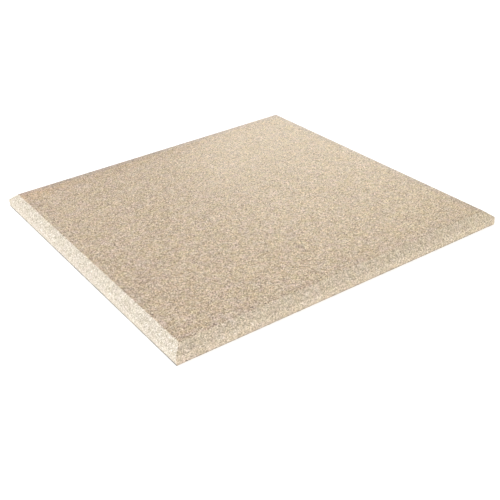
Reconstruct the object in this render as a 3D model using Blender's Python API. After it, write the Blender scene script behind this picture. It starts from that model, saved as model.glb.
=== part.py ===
"""Granite slab for leatherwork: a square plate of fine-grained stone that a hide is stamped,
punched and skived on. The plate is sawn from one block. A wide bevel is ground round its top,
mitred at the corners, and every arris is eased so that it neither cuts the hide nor chips.

Metres, +Z up. The origin is the middle of the underside. X and Y run along the sides.
"""

import bmesh
import bpy

LENGTH = 0.3048  # along X: 12 inches
WIDTH = 0.3048  # along Y: 12 inches
THICKNESS = 0.0127  # 1/2 inch
BEVEL_WIDTH = 0.0075  # how far the bevel cuts in over the top
BEVEL_DROP = 0.0059  # how far the bevel comes down the sides
ARRIS = 0.0005  # the rounding on each edge of the stone
ARRIS_SEGMENTS = 2
ARRIS_LEAST_ANGLE = 0.35  # radians: the shallowest edge that is rounded

GRANITE_COLOUR = (0.64, 0.52, 0.40, 1.0)
GRANITE_ROUGHNESS = 0.55
SMOOTH_BELOW = 0.35  # radians between faces that shade as one


def clear_scene():
    for obj in list(bpy.data.objects):
        bpy.data.objects.remove(obj, do_unlink=True)


def granite():
    material = bpy.data.materials.new("granite")
    material.use_nodes = True
    shader = material.node_tree.nodes["Principled BSDF"]
    shader.inputs["Base Color"].default_value = GRANITE_COLOUR
    shader.inputs["Roughness"].default_value = GRANITE_ROUGHNESS
    shader.inputs["Metallic"].default_value = 0.0
    material.diffuse_color = GRANITE_COLOUR
    return material


def rectangle(mesh, inset, height):
    """Four vertices, anticlockwise from above, this far inside the slab's outline."""
    x = LENGTH / 2 - inset
    y = WIDTH / 2 - inset
    corners = [(-x, -y), (x, -y), (x, y), (-x, y)]
    return [mesh.verts.new((cx, cy, height)) for cx, cy in corners]


def band(mesh, lower, upper):
    """The four faces between two rectangles, facing out."""
    for i in range(4):
        j = (i + 1) % 4
        mesh.faces.new((lower[i], lower[j], upper[j], upper[i]))


def slab_mesh():
    mesh = bmesh.new()
    underside = rectangle(mesh, 0.0, 0.0)
    side_top = rectangle(mesh, 0.0, THICKNESS - BEVEL_DROP)
    work_face = rectangle(mesh, BEVEL_WIDTH, THICKNESS)
    mesh.faces.new(reversed(underside))
    band(mesh, underside, side_top)
    band(mesh, side_top, work_face)
    mesh.faces.new(work_face)
    data = bpy.data.meshes.new("granite_slab")
    mesh.to_mesh(data)
    mesh.free()
    return data


def ease_arrises(obj):
    bevel = obj.modifiers.new("eased arrises", "BEVEL")
    bevel.width = ARRIS
    bevel.segments = ARRIS_SEGMENTS
    bevel.limit_method = "ANGLE"
    bevel.angle_limit = ARRIS_LEAST_ANGLE
    bevel.use_clamp_overlap = True


def granite_slab():
    data = slab_mesh()
    data.materials.append(granite())
    data.shade_smooth()
    data.set_sharp_from_angle(angle=SMOOTH_BELOW)
    slab = bpy.data.objects.new("granite_slab", data)
    bpy.context.scene.collection.objects.link(slab)
    ease_arrises(slab)
    return slab


clear_scene()
granite_slab()
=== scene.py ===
"""Looks of the granite slab: one ground plate of fine-grained beige granite on a white floor.

The stone is a closed mesh built round the CAD slab's own sizes, with eased and slightly chipped
arrises, a ground work face and a sawn underside. Its material is a three-dimensional mosaic of
crystals, so that the grain runs on over every edge as it does in a block of stone.
Metres, +Z up, in the CAD frame.
"""

import math

import bpy
import numpy as np
from mathutils import Matrix, Vector, noise


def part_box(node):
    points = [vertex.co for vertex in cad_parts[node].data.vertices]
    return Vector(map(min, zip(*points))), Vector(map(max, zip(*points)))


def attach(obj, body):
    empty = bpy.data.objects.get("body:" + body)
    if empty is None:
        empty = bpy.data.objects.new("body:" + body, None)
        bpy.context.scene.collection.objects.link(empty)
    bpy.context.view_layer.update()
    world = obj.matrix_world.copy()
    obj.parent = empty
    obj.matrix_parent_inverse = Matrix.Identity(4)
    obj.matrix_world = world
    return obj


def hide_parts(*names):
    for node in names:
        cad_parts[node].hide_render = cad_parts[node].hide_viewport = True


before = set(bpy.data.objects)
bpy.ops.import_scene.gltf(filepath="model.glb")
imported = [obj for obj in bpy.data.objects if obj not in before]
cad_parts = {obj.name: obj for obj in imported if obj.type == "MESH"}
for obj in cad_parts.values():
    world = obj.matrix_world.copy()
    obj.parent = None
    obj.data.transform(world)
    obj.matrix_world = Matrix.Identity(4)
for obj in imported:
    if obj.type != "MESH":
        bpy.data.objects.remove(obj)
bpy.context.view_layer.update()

NODE = "granite_slab"
UP = Vector((0, 0, 1))
MM = 0.001

# Mesh of the stone: how many cells its faces have.
EDGE_CELLS = 340  # along each side, between the rounded corners
TOP_CELLS = 190
UNDERSIDE_CELLS = 90
RUN_CELL = 1.3 * MM  # across the side band and the bevel
ARC_STEPS = 4  # over each eased arris
RIM = 1.6 * MM  # the strip of flat face between an arris and the grid inside it

# The stone's UV map, laid out for a baked texture: each share is how much of the map's side
# one side of the slab fills.
MAP_GAP = 0.006
TOP_SHARE = 0.80
UNDERSIDE_SHARE = 0.36  # in two halves, one above the other, beside the top
STRIP_SHARE = 0.98  # the four sides, in strips above the rest
STRIP_STEP = 0.027  # from one strip to the next
STRIPS_START = 0.885
STEEP = 0.5  # the least slope of a face's normal that counts as facing up or down

# Relief, all of it carved inwards: each pattern's width and its depth.
WAVINESS = (60 * MM, 0.03 * MM)  # left by grinding
GRAIN = (3.0 * MM, 0.02 * MM)
WEAR = (9 * MM, 0.06 * MM)  # along the arrises, as the next two are
NIBBLES = (1.7 * MM, 0.09 * MM)
CHIPS = (4.5 * MM, 1.3 * MM)
CHIP_RARITY = 0.5  # a chip starts where its noise is above this
BLADE_MARKS = (7 * MM, 0.03 * MM)  # of the saw, on the underside
BLADE_CENTRE = (0.35, -0.55)  # x and y, far outside the slab
FACES_DOWN = 0.9  # the least slope of a normal where the blade marks start
SEED_STEP = Vector((3.7, 1.9, 5.3))  # how far apart in the noise two patterns lie

# Granite: the widths of its patterns, and how strong they are.
BEND = (0.9 * MM, 0.4 * MM)  # width and reach of the bends in the crystals' sides
FINE_CRYSTAL = 0.66 * MM
COARSE_CRYSTAL = 1.5 * MM
COARSE_RARITY = 0.85  # the share of coarse crystals that don't show
COARSE_STRENGTH = 0.25  # how far the rest cover the fine ones
CLOUDS = ((3.5 * MM, 0.06, 0.012), (9 * MM, 0.04, 0.010))  # width, yellow tint, pink tint
CLOUD_ENDS = (0.3, 0.7)  # the noise levels where a cloud has its full tint
DRIFT = 90 * MM
SKIN = (0.1 * MM, 0.35 * MM)  # depths below the top over which the honed face ends
POLISH = (0.24, 0.50)  # roughness of the glossiest and the dullest crystal
GROUND_DULLNESS = 0.2  # more roughness on the bevel and the sides
PIT = 0.7 * MM
PIT_HARSHNESS = 0.6  # how strong the finer noise in the pits is
CRYSTAL_DOME = -0.6  # a crystal's height falls from its middle, against the pits' 1
BUMP_STRENGTH = 0.4
BUMP_DEPTH = 0.1 * MM
STONE_IOR = 1.54

# Stains and bruising, and painted shade and highlight. A band of painted rim shade has its inner
# and outer end, as distances from the bevel, and its strength.
SHADE_AND_STAIN_PATCH = 7 * MM
SHADE_AND_STAIN_PATCHINESS = (0.6, 1.3)  # the factors by which it is weakest and strongest
RIM_SHADE_BACK = (8 * MM, 2.5 * MM, 0.26)
RIM_SHADE_RIGHT = (7 * MM, 2.5 * MM, 0.14)
RIM_SHADE_ROUND = (8 * MM, 2 * MM, 0.05)
STAIN_ENDS = (28 * MM, 5 * MM)  # from the bevel on +Y
OILED_ENDS = (20 * MM, 50 * MM)  # from the bevel on -X
BRUISE_AND_HIGHLIGHT_LEFT = 0.50  # how much of the bevel and side on -X is made pale, by bruising and by a painted highlight
BRUISE_OTHERS = 0.30
FOOT_THIN = (0.6 * MM, 1.0 * MM, 0.45)  # heights where the painted shadow fades, and its strength
FOOT_THICK = (1.0 * MM, 1.6 * MM, 1.0)
FOOT_PATCH = 5 * MM
FOOT_PATCHINESS = (0.3, 0.6, 0.65, 1.0)  # two noise levels, and the share of painted shadow at each

# Studio
HORIZON_LIGHT = 1.0
OVERHEAD_LIGHT = 0.86
HORIZON_TOP = 0.5  # the sine of the elevation where the overhead light is reached
FLOOR_SIZE = 12  # metres
FLOOR_GLOW = 0.35
FLOOR_WHITE = 0.9
FLOOR_ROUGHNESS = 0.9
LIGHT_DISTANCE = 1.5  # from the origin to each softbox
SOFTBOXES = (  # name, azimuth, elevation, width, height, watts, colour
    ("key", 150, 35, 0.9, 0.6, 5.6, (1, 1, 1)),
    ("fill", 240, 20, 0.9, 0.6, 3.1, (1, 1, 1)),
    ("back", 49, 17, 0.7, 0.45, 2.1, (1.04, 1.0, 0.90)),
)

# Camera
LENS = 62.3  # mm, on the default 36 mm sensor
DISTANCE = 0.7562
AZIMUTH = math.radians(-32.59)  # 0 looks along +Y
ELEVATION = math.radians(30.02)
ROLL = math.radians(-3.68)
AIM_RIGHT = 0.0072  # how far the line of sight passes beside the origin
AIM_UP = -0.0314
NEAREST = 0.01  # the camera's clip start


# ---------------------------------------------------------------- sizes from the frame


def slab_sizes():
    """The slab's sizes, read from the CAD node's own corners."""
    low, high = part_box(NODE)
    points = np.array([v.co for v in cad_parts[NODE].data.vertices])
    near = 1e-6
    flat_under = points[points[:, 2] < low.z + near, 0].max()
    flat_top = points[points[:, 2] > high.z - near, 0].max()
    side_top = points[points[:, 0] > high.x - near, 2].max()
    arris = high.x - flat_under
    return {
        "half": high.x,
        "thickness": high.z,
        "arris": arris,
        "bevel_width": high.x - flat_top - arris,
        "side_height": side_top + arris,
    }


# ---------------------------------------------------------------- the stone's shape


def eased_profile(size):
    """(inset, height, arris weight) from the underside's rim, up the side and bevel, to the top."""
    corners = [
        (size["arris"] + RIM, 0.0),
        (0.0, 0.0),
        (0.0, size["side_height"]),
        (size["bevel_width"], size["thickness"]),
        (size["bevel_width"] + size["arris"] + RIM, size["thickness"]),
    ]
    corners = [Vector(c) for c in corners]
    found = [(*corners[0], 0.0)]
    last = corners[0]
    for before, corner, after in zip(corners, corners[1:], corners[2:]):
        start = corner + (before - corner).normalized() * size["arris"]
        end = corner + (after - corner).normalized() * size["arris"]
        found += run(last, start)
        found += arc(start, corner, end)
        last = end
    found += run(last, corners[-1])
    return found


def run(start, end):
    """Points along a straight stretch of the profile, without its first."""
    steps = max(1, round((end - start).length / RUN_CELL))
    return [(*start.lerp(end, i / steps), 0.0) for i in range(1, steps + 1)]


def arc(start, corner, end):
    """Points over a rounded arris, without its first, as a quadratic curve."""
    found = []
    for i in range(1, ARC_STEPS + 1):
        t = i / ARC_STEPS
        point = start.lerp(corner, t).lerp(corner.lerp(end, t), t)
        found.append((*point, math.sin(math.pi * t)))
    return found


def outline(half, corner_radius):
    """[(x, y, place round the outline)] anticlockwise from above, rounded at the corners."""
    straight = half - corner_radius
    along = [-half, -half + corner_radius / 2]
    along += [straight * (2 * i / EDGE_CELLS - 1) for i in range(EDGE_CELLS + 1)]
    along += [half - corner_radius / 2]
    found = []
    for side in range(4):
        turn = Matrix.Rotation(side * math.pi / 2, 2)
        for u in along:
            inside = half - abs(u)
            x, y = u, -half
            if inside < corner_radius:
                angle = math.pi / 4 * (1 - inside / corner_radius)
                x = math.copysign(straight + corner_radius * math.sin(angle), u)
                y = -(straight + corner_radius * math.cos(angle))
            x, y = turn @ Vector((x, y))
            found.append((x, y, side + (u / half + 1) / 2))
    return found


class Builder:
    """Collects the vertices and faces of the stone."""

    def __init__(self):
        self.points = []
        self.arris = []
        self.faces = []

    def loop(self, places, height, weight):
        """Adds a closed loop of vertices and returns [(index, place round the outline)]."""
        first = len(self.points)
        self.points += [(x, y, height) for x, y, _ in places]
        self.arris += [weight] * len(places)
        return [(first + i, place[2]) for i, place in enumerate(places)]

    def bridge(self, lower, upper):
        """Quads between two loops with the same count."""
        count = len(lower)
        for i in range(count):
            j = (i + 1) % count
            self.faces.append((lower[i][0], lower[j][0], upper[j][0], upper[i][0]))

    def zip(self, outer, inner, up):
        """Triangles between two loops with different counts. up says which way they face."""
        outer = outer + [(outer[0][0], 4.0)]
        inner = inner + [(inner[0][0], 4.0)]
        i = j = 0
        while i < len(outer) - 1 or j < len(inner) - 1:
            step_outer = j == len(inner) - 1 or (
                i < len(outer) - 1 and outer[i + 1][1] <= inner[j + 1][1]
            )
            if step_outer:
                face = (outer[i][0], outer[i + 1][0], inner[j][0])
                i += 1
            else:
                face = (outer[i][0], inner[j + 1][0], inner[j][0])
                j += 1
            self.faces.append(face if up else face[::-1])

    def grid(self, half, cells, height, up):
        """A flat grid. Returns its outline's loop, as loop() does."""
        first = len(self.points)
        places = [half * (2 * i / cells - 1) for i in range(cells + 1)]
        self.points += [(x, y, height) for y in places for x in places]
        self.arris += [0.0] * (cells + 1) ** 2
        row = cells + 1
        for j in range(cells):
            for i in range(cells):
                a = first + j * row + i
                face = (a, a + 1, a + 1 + row, a + row)
                self.faces.append(face if up else face[::-1])
        ends = []
        for side, (start, step) in enumerate(
            [(0, 1), (cells, row), (row * row - 1, -1), (cells * row, -row)]
        ):
            ends += [(first + start + i * step, side + i / cells) for i in range(cells)]
        return ends


def stone_mesh(size):
    """The stone before its relief, and each vertex's arris weight."""
    made = Builder()
    loops = []
    for inset, height, weight in eased_profile(size):
        places = outline(size["half"] - inset, size["arris"])
        loops.append(made.loop(places, height, weight))
    for lower, upper in zip(loops, loops[1:]):
        made.bridge(lower, upper)
    rim = 2 * RIM + size["arris"]
    under = made.grid(size["half"] - rim, UNDERSIDE_CELLS, 0.0, False)
    made.zip(loops[0], under, False)
    top_half = size["half"] - size["bevel_width"] - rim
    top = made.grid(top_half, TOP_CELLS, size["thickness"], True)
    made.zip(loops[-1], top, True)
    data = bpy.data.meshes.new("stone")
    data.from_pydata(made.points, [], made.faces)
    data.update()
    return data, np.array(made.arris)


def vectors(items, name):
    """This attribute of every item, one row each."""
    values = np.empty(len(items) * 3)
    items.foreach_get(name, values)
    return values.reshape(-1, 3)


def whole_numbers(items, name):
    """This attribute of every item."""
    values = np.empty(len(items), int)
    items.foreach_get(name, values)
    return values


def lay_out_map(data, size):
    """Adds the UV map. Top and bevel are seen from above, the sides and the underside square on."""
    index = whole_numbers(data.loops, "vertex_index")
    counts = whole_numbers(data.polygons, "loop_total")
    x, y, z = vectors(data.vertices, "co")[index].T / (2 * size["half"])
    across, along, up = np.repeat(vectors(data.polygons, "normal"), counts, axis=0).T
    places = np.stack([x, y], 1) * TOP_SHARE + MAP_GAP + TOP_SHARE / 2

    right = np.repeat(vectors(data.polygons, "center")[:, 0] > 0, counts)
    column = TOP_SHARE + 2 * MAP_GAP + UNDERSIDE_SHARE * (0.5 * right - x)
    row = MAP_GAP + UNDERSIDE_SHARE * (y + 0.5) + right * (UNDERSIDE_SHARE + MAP_GAP)
    under = up < -STEEP
    places[under] = np.stack([column, row], 1)[under]

    on_x = np.abs(across) > np.abs(along)
    ahead = np.where(on_x, across, -along) > 0
    to_right = np.where(on_x, y, x) * np.where(ahead, 1, -1)
    level = STRIPS_START + (2 * on_x + ahead) * STRIP_STEP + z * STRIP_SHARE
    side = np.abs(up) <= STEEP
    places[side] = np.stack([MAP_GAP + (to_right + 0.5) * STRIP_SHARE, level], 1)[side]
    data.uv_layers.new(name="OFBake").data.foreach_set("uv", places.ravel())


def noise_at(points, width, seed):
    """Smooth noise, about -1 to 1, at each point."""
    return np.array([noise.noise(Vector(p) / width + seed * SEED_STEP) for p in points])


def carve(data, arris):
    """Moves the vertices inwards: ground waviness, grain, wear and chips along the arrises."""
    points = vectors(data.vertices, "co")
    normals = vectors(data.vertex_normals, "vector")

    waviness = 0.5 + 0.5 * noise_at(points, WAVINESS[0], 1)
    grain = 0.5 + 0.5 * noise_at(points, GRAIN[0], 2)
    depth = WAVINESS[1] * waviness + GRAIN[1] * grain

    wear = 0.5 + 0.5 * noise_at(points, WEAR[0], 3)
    nibbles = np.clip(noise_at(points, NIBBLES[0], 4), 0, None)
    chips = np.clip(noise_at(points, CHIPS[0], 5) - CHIP_RARITY, 0, None)
    depth += arris * (WEAR[1] * wear + NIBBLES[1] * nibbles + CHIPS[1] * chips)

    sawn = np.clip((-normals[:, 2] - FACES_DOWN) / (1 - FACES_DOWN), 0, 1)
    from_centre = np.hypot(*(points[:, :2] - BLADE_CENTRE).T)
    marks = 0.5 + 0.5 * np.sin(from_centre / BLADE_MARKS[0] * 2 * math.pi)
    depth += sawn * BLADE_MARKS[1] * marks

    points -= normals * depth[:, None]
    data.vertices.foreach_set("co", points.ravel())
    data.shade_smooth()
    data.update()


def stone():
    """The piece that is seen in place of the CAD slab."""
    size = slab_sizes()
    data, arris = stone_mesh(size)
    lay_out_map(data, size)
    carve(data, arris)
    piece = bpy.data.objects.new("granite_slab_stone", data)
    bpy.context.scene.collection.objects.link(piece)
    data.materials.append(granite(size))
    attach(piece, "root")
    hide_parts(NODE)


# ---------------------------------------------------------------- granite


class Nodes:
    """Short calls for building a material's node tree."""

    def __init__(self, material):
        material.use_nodes = True
        self.tree = material.node_tree
        self.shader = self.tree.nodes["Principled BSDF"]

    def link(self, source, target):
        self.tree.links.new(source, target)

    def feed(self, socket, value):
        if isinstance(value, bpy.types.NodeSocket):
            self.link(value, socket)
        elif value is not None:
            socket.default_value = value

    def add(self, kind, **settings):
        node = self.tree.nodes.new(kind)
        for name, value in settings.items():
            setattr(node, name, value)
        return node

    def math(self, operation, a, b=None, c=None, clamp=False):
        node = self.add("ShaderNodeMath", operation=operation, use_clamp=clamp)
        for socket, value in zip(node.inputs, (a, b, c)):
            self.feed(socket, value)
        return node.outputs[0]

    def noise(self, place, width, detail=2.0, roughness=0.5):
        node = self.add("ShaderNodeTexNoise")
        self.link(place, node.inputs["Vector"])
        node.inputs["Scale"].default_value = 1 / width
        node.inputs["Detail"].default_value = detail
        node.inputs["Roughness"].default_value = roughness
        return node

    def crystals(self, place, width):
        node = self.add("ShaderNodeTexVoronoi", feature="F1")
        self.link(place, node.inputs["Vector"])
        node.inputs["Scale"].default_value = 1 / width
        return node

    def channel(self, colour, name):
        node = self.add("ShaderNodeSeparateColor")
        self.link(colour, node.inputs[0])
        return node.outputs[name]

    def ramp(self, factor, stops):
        node = self.add("ShaderNodeValToRGB")
        ramp = node.color_ramp
        while len(ramp.elements) < len(stops):
            ramp.elements.new(0.5)
        for element, (position, colour) in zip(ramp.elements, stops):
            element.position = position
            element.color = (*colour, 1.0)
        self.link(factor, node.inputs[0])
        return node.outputs[0]

    def mix(self, factor, a, b, blend="MIX"):
        node = self.add("ShaderNodeMix", data_type="RGBA", blend_type=blend)
        self.feed(node.inputs["Factor"], factor)
        self.feed(node.inputs[6], a if isinstance(a, bpy.types.NodeSocket) else (*a, 1.0))
        self.feed(node.inputs[7], b if isinstance(b, bpy.types.NodeSocket) else (*b, 1.0))
        return node.outputs[2]

    def tint(self, colour, by):
        """The colour times another."""
        return self.mix(1.0, colour, by, "MULTIPLY")

    def remap(self, value, low, high, to_low, to_high):
        node = self.add("ShaderNodeMapRange")
        self.link(value, node.inputs[0])
        for socket, number in zip(node.inputs[1:5], (low, high, to_low, to_high)):
            socket.default_value = number
        return node.outputs[0]


# The minerals, dark to light. The darker ones are browner and the lightest nearly white.
BIOTITE = (0.096, 0.063, 0.033)
SMOKY_QUARTZ = (0.262, 0.188, 0.111)
BEIGE_FELDSPAR = (0.432, 0.326, 0.208)
HONEY_FELDSPAR = (0.544, 0.416, 0.274)
CREAM_FELDSPAR = (0.694, 0.540, 0.367)
WHITE_QUARTZ = (0.882, 0.730, 0.540)
MINERALS = (  # of the fine crystals, with the share of them that is darker
    (0.00, BIOTITE),
    (0.13, SMOKY_QUARTZ),
    (0.34, BEIGE_FELDSPAR),
    (0.60, HONEY_FELDSPAR),
    (0.80, CREAM_FELDSPAR),
    (0.95, WHITE_QUARTZ),
)
COARSE_MINERALS = (
    (0.0, SMOKY_QUARTZ),
    (0.4, BEIGE_FELDSPAR),
    (0.7, CREAM_FELDSPAR),
    (1.0, WHITE_QUARTZ),
)
# Slow changes of tint: in clouds 90 mm wide, and from -X to +X.
DRIFT_DARK = (0.985, 0.98, 0.975)
DRIFT_LIGHT = (1.015, 1.015, 1.015)
TINT_LEFT = (0.998, 1.0, 1.045)
TINT_RIGHT = (1.0, 1.0, 0.97)
# Crystals bruised white by grinding, dark to light: on the -X side, where they are whiter still as
# a painted highlight of the key light, and on the other three.
# On -X the paleness is partly a painted highlight.
LEFT_BRUISES_AND_HIGHLIGHT = ((0.58, 0.52, 0.38), (1.0, 1.0, 0.96))
OTHER_BRUISES = ((0.62, 0.56, 0.43), (0.82, 0.77, 0.67))
# Painted shadow: the dark line along the foot, where the slab meets the floor.
PAINTED_FOOT_SHADOW = (0.10, 0.09, 0.08)
# Painted shade: bluish grey, on the work face near its rims.
PAINTED_RIM_SHADE = (0.245, 0.24, 0.32)
OIL_STAIN = (0.96, 0.925, 0.885)
OILED_CORNER = (1.05, 0.98, 0.92)


def crystal_place(n, coordinates):
    """The coordinates bent a little, so that crystals don't have straight sides."""
    width, reach = BEND
    bend = n.noise(coordinates, width, detail=1.0)
    bent = n.add("ShaderNodeVectorMath", operation="MULTIPLY_ADD")
    n.link(bend.outputs["Color"], bent.inputs[0])
    bent.inputs[1].default_value = (reach,) * 3
    n.link(coordinates, bent.inputs[2])
    return bent.outputs[0]


def mottle(n, coordinates, width, yellow, pink):
    """Clouds of tint. yellow and pink say how far they change blue, and red against green."""
    clouds = n.noise(coordinates, width, detail=0.0).outputs["Color"]
    blues = ((1.0, 1.0, 1.0 + yellow), (1.0, 1.0, 1.0 - yellow))
    reds = ((1.0 - pink, 1.0 + pink, 1.0), (1.0 + pink, 1.0 - pink, 1.0))
    less_blue = n.ramp(n.channel(clouds, 0), list(zip(CLOUD_ENDS, blues)))
    less_green = n.ramp(n.channel(clouds, 1), list(zip(CLOUD_ENDS, reds)))
    return n.tint(less_blue, less_green)


def beyond(n, a, b):
    """1 where the slab's side in the direction -a is the nearest, out of a's two and b's two."""
    return n.math("GREATER_THAN", n.math("MULTIPLY", a, -1.0), n.math("ABSOLUTE", b))


def painted_foot_shadow(n, coordinates, x, y, z):
    """How much painted contact shadow lies along the bottom edge: most on -X."""
    thin, thick = (
        n.remap(z, low, high, strength, 0.0) for low, high, strength in (FOOT_THIN, FOOT_THICK)
    )
    patches = n.noise(coordinates, FOOT_PATCH).outputs["Fac"]
    uneven = n.remap(patches, *FOOT_PATCHINESS)
    most = n.math("MAXIMUM", thin, n.math("MULTIPLY", thick, beyond(n, x, y)))
    return n.math("MULTIPLY", most, uneven)


def ground_side_and_highlight(n, colour, kind, x, y, below):
    """The bevel and the sides are paler than the work face, where grinding bruised the stone. On -X
    they are paler still, as a painted highlight.
    """
    on_left = beyond(n, x, y)
    bruise_and_highlight = n.mix(on_left, n.mix(kind, *OTHER_BRUISES), n.mix(kind, *LEFT_BRUISES_AND_HIGHLIGHT))
    share = n.remap(on_left, 0.0, 1.0, BRUISE_OTHERS, BRUISE_AND_HIGHLIGHT_LEFT)
    return n.mix(n.math("MULTIPLY", share, below), colour, bruise_and_highlight)


def shaded_and_stained_rim(n, colour, coordinates, x, y, on_face, size):
    """The work face is painted darker and bluer in bands along its edges, as shade, most along +Y
    and +X; and it is stained along +Y, with the most oil at the corner by -X."""
    flat = size["half"] - size["bevel_width"]

    def towards(place, inner, outer, strength):
        """0 up to inner from the bevel, and strength from outer to the bevel."""
        return n.remap(place, flat - inner, flat - outer, 0.0, strength)

    patches = n.noise(coordinates, SHADE_AND_STAIN_PATCH).outputs["Fac"]
    patchy = n.remap(patches, *CLOUD_ENDS, *SHADE_AND_STAIN_PATCHINESS)
    back = n.math("MULTIPLY", towards(y, *RIM_SHADE_BACK), patchy)
    right = n.math("MULTIPLY", towards(x, *RIM_SHADE_RIGHT), patchy)
    outermost = n.math("MAXIMUM", n.math("ABSOLUTE", x), n.math("ABSOLUTE", y))
    rim_shade = n.math("MAXIMUM", back, right)
    rim_shade = n.math("MAXIMUM", rim_shade, towards(outermost, *RIM_SHADE_ROUND))

    stain = n.math("MULTIPLY", towards(y, *STAIN_ENDS, 1.0), patchy)
    by_left = n.remap(x, OILED_ENDS[0] - flat, OILED_ENDS[1] - flat, 1.0, 0.0)
    for share, tint in ((stain, OIL_STAIN), (n.math("MULTIPLY", stain, by_left), OILED_CORNER)):
        shown = n.math("MULTIPLY", share, on_face, clamp=True)
        colour = n.mix(shown, colour, n.tint(colour, tint))
    # The painted shade darkens the work face near its rims.
    return n.mix(n.math("MULTIPLY", rim_shade, on_face), colour, PAINTED_RIM_SHADE)


def granite(size):
    """The stone's material."""
    material = bpy.data.materials.new("granite")
    n = Nodes(material)
    coordinates = n.add("ShaderNodeTexCoord").outputs["Object"]
    split = n.add("ShaderNodeSeparateXYZ")
    n.link(coordinates, split.inputs[0])
    x, y, z = split.outputs
    place = crystal_place(n, coordinates)

    fine = n.crystals(place, FINE_CRYSTAL)
    kind = n.channel(fine.outputs["Color"], 0)
    colour = n.ramp(kind, MINERALS)
    coarse = n.crystals(place, COARSE_CRYSTAL).outputs["Color"]
    big = n.ramp(n.channel(coarse, 1), COARSE_MINERALS)
    is_big = n.math("GREATER_THAN", n.channel(coarse, 0), COARSE_RARITY)
    colour = n.mix(n.math("MULTIPLY", is_big, COARSE_STRENGTH), colour, big)

    for width, yellow, pink in CLOUDS:
        colour = n.tint(colour, mottle(n, coordinates, width, yellow, pink))
    drift = n.noise(coordinates, DRIFT, detail=1.0).outputs["Fac"]
    colour = n.tint(colour, n.ramp(drift, list(zip(CLOUD_ENDS, (DRIFT_DARK, DRIFT_LIGHT)))))
    across = n.remap(x, -size["half"], size["half"], 0.0, 1.0)
    colour = n.tint(colour, n.ramp(across, ((0.0, TINT_LEFT), (1.0, TINT_RIGHT))))

    # The honed work face ends at the bevel, a fraction of a millimetre below the top.
    top = size["thickness"]
    below = n.remap(z, top - SKIN[1], top - SKIN[0], 1.0, 0.0)
    on_face = n.math("SUBTRACT", 1.0, below)
    colour = shaded_and_stained_rim(n, colour, coordinates, x, y, on_face, size)
    colour = ground_side_and_highlight(n, colour, kind, x, y, below)
    # A painted contact shadow darkens the bottom edge, most on -X.
    colour = n.mix(painted_foot_shadow(n, coordinates, x, y, z), colour, PAINTED_FOOT_SHADOW)
    n.link(colour, n.shader.inputs["Base Color"])

    polish = n.remap(n.channel(fine.outputs["Color"], 1), 0.0, 1.0, *POLISH)
    rough = n.math("MULTIPLY_ADD", below, GROUND_DULLNESS, polish)
    n.link(rough, n.shader.inputs["Roughness"])

    pits = n.noise(coordinates, PIT, roughness=PIT_HARSHNESS).outputs["Fac"]
    relief = n.math("MULTIPLY_ADD", fine.outputs["Distance"], CRYSTAL_DOME, pits)
    bump = n.add("ShaderNodeBump")
    bump.inputs["Strength"].default_value = BUMP_STRENGTH
    bump.inputs["Distance"].default_value = BUMP_DEPTH
    n.link(relief, bump.inputs["Height"])
    n.link(bump.outputs[0], n.shader.inputs["Normal"])
    n.shader.inputs["IOR"].default_value = STONE_IOR
    return material


# ---------------------------------------------------------------- studio


def floor():
    """A plain white floor, lit evenly enough to look seamless."""
    bpy.ops.mesh.primitive_plane_add(size=FLOOR_SIZE)
    plane = bpy.context.object
    plane.name = "floor"
    material = bpy.data.materials.new("white floor")
    n = Nodes(material)
    n.shader.inputs["Base Color"].default_value = (FLOOR_WHITE, FLOOR_WHITE, FLOOR_WHITE, 1)
    n.shader.inputs["Roughness"].default_value = FLOOR_ROUGHNESS
    n.shader.inputs["Specular IOR Level"].default_value = 0.0
    n.shader.inputs["Emission Color"].default_value = (1, 1, 1, 1)
    n.shader.inputs["Emission Strength"].default_value = FLOOR_GLOW
    plane.data.materials.append(material)


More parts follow.
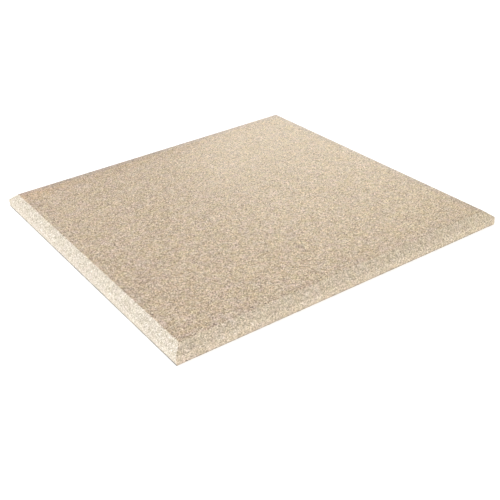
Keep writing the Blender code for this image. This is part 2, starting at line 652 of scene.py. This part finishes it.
def softbox(name, azimuth, elevation, width, height, power, colour):
    """An area light aimed at the slab. Azimuth is anticlockwise from +X, in degrees."""
    data = bpy.data.lights.new(name, "AREA")
    data.shape = "RECTANGLE"
    data.size, data.size_y = width, height
    data.energy = power
    data.color = colour
    lamp = bpy.data.objects.new(name, data)
    bpy.context.scene.collection.objects.link(lamp)
    around, over = math.radians(azimuth), math.radians(elevation)
    level = math.cos(over)
    towards = Vector((level * math.cos(around), level * math.sin(around), math.sin(over)))
    lamp.location = towards * LIGHT_DISTANCE
    lamp.rotation_euler = towards.to_track_quat("Z", "Y").to_euler()


def lights():
    """A white room, brightest at the horizon, and the softboxes."""
    world = bpy.data.worlds.new("studio")
    world.use_nodes = True
    tree = world.node_tree
    direction = tree.nodes.new("ShaderNodeTexCoord")
    split = tree.nodes.new("ShaderNodeSeparateXYZ")
    tree.links.new(direction.outputs["Generated"], split.inputs[0])
    glow = tree.nodes.new("ShaderNodeMapRange")
    glow.interpolation_type = "SMOOTHSTEP"
    tree.links.new(split.outputs["Z"], glow.inputs[0])
    numbers = (0.0, HORIZON_TOP, HORIZON_LIGHT, OVERHEAD_LIGHT)
    for socket, number in zip(glow.inputs[1:5], numbers):
        socket.default_value = number
    background = tree.nodes["Background"]
    background.inputs["Color"].default_value = (1, 1, 1, 1)
    tree.links.new(glow.outputs[0], background.inputs["Strength"])
    bpy.context.scene.world = world
    for sizes in SOFTBOXES:
        softbox(*sizes)


def camera():
    """The photograph's view: from the side where the corner by -X and -Y is nearest."""
    data = bpy.data.cameras.new("camera")
    data.lens = LENS
    data.clip_start = NEAREST
    seat = bpy.data.objects.new("camera", data)
    bpy.context.scene.collection.objects.link(seat)
    forward = Vector(
        (
            -math.sin(AZIMUTH) * math.cos(ELEVATION),
            math.cos(AZIMUTH) * math.cos(ELEVATION),
            -math.sin(ELEVATION),
        )
    )
    right = forward.cross(UP).normalized()
    up = right.cross(forward)
    turn = Matrix((right, up, -forward)).transposed() @ Matrix.Rotation(ROLL, 3, "Z")
    place = -forward * DISTANCE + right * AIM_RIGHT + up * AIM_UP
    seat.matrix_world = Matrix.Translation(place) @ turn.to_4x4()
    bpy.context.scene.camera = seat


bpy.context.scene.view_settings.view_transform = "Standard"
stone()
floor()
lights()
camera()
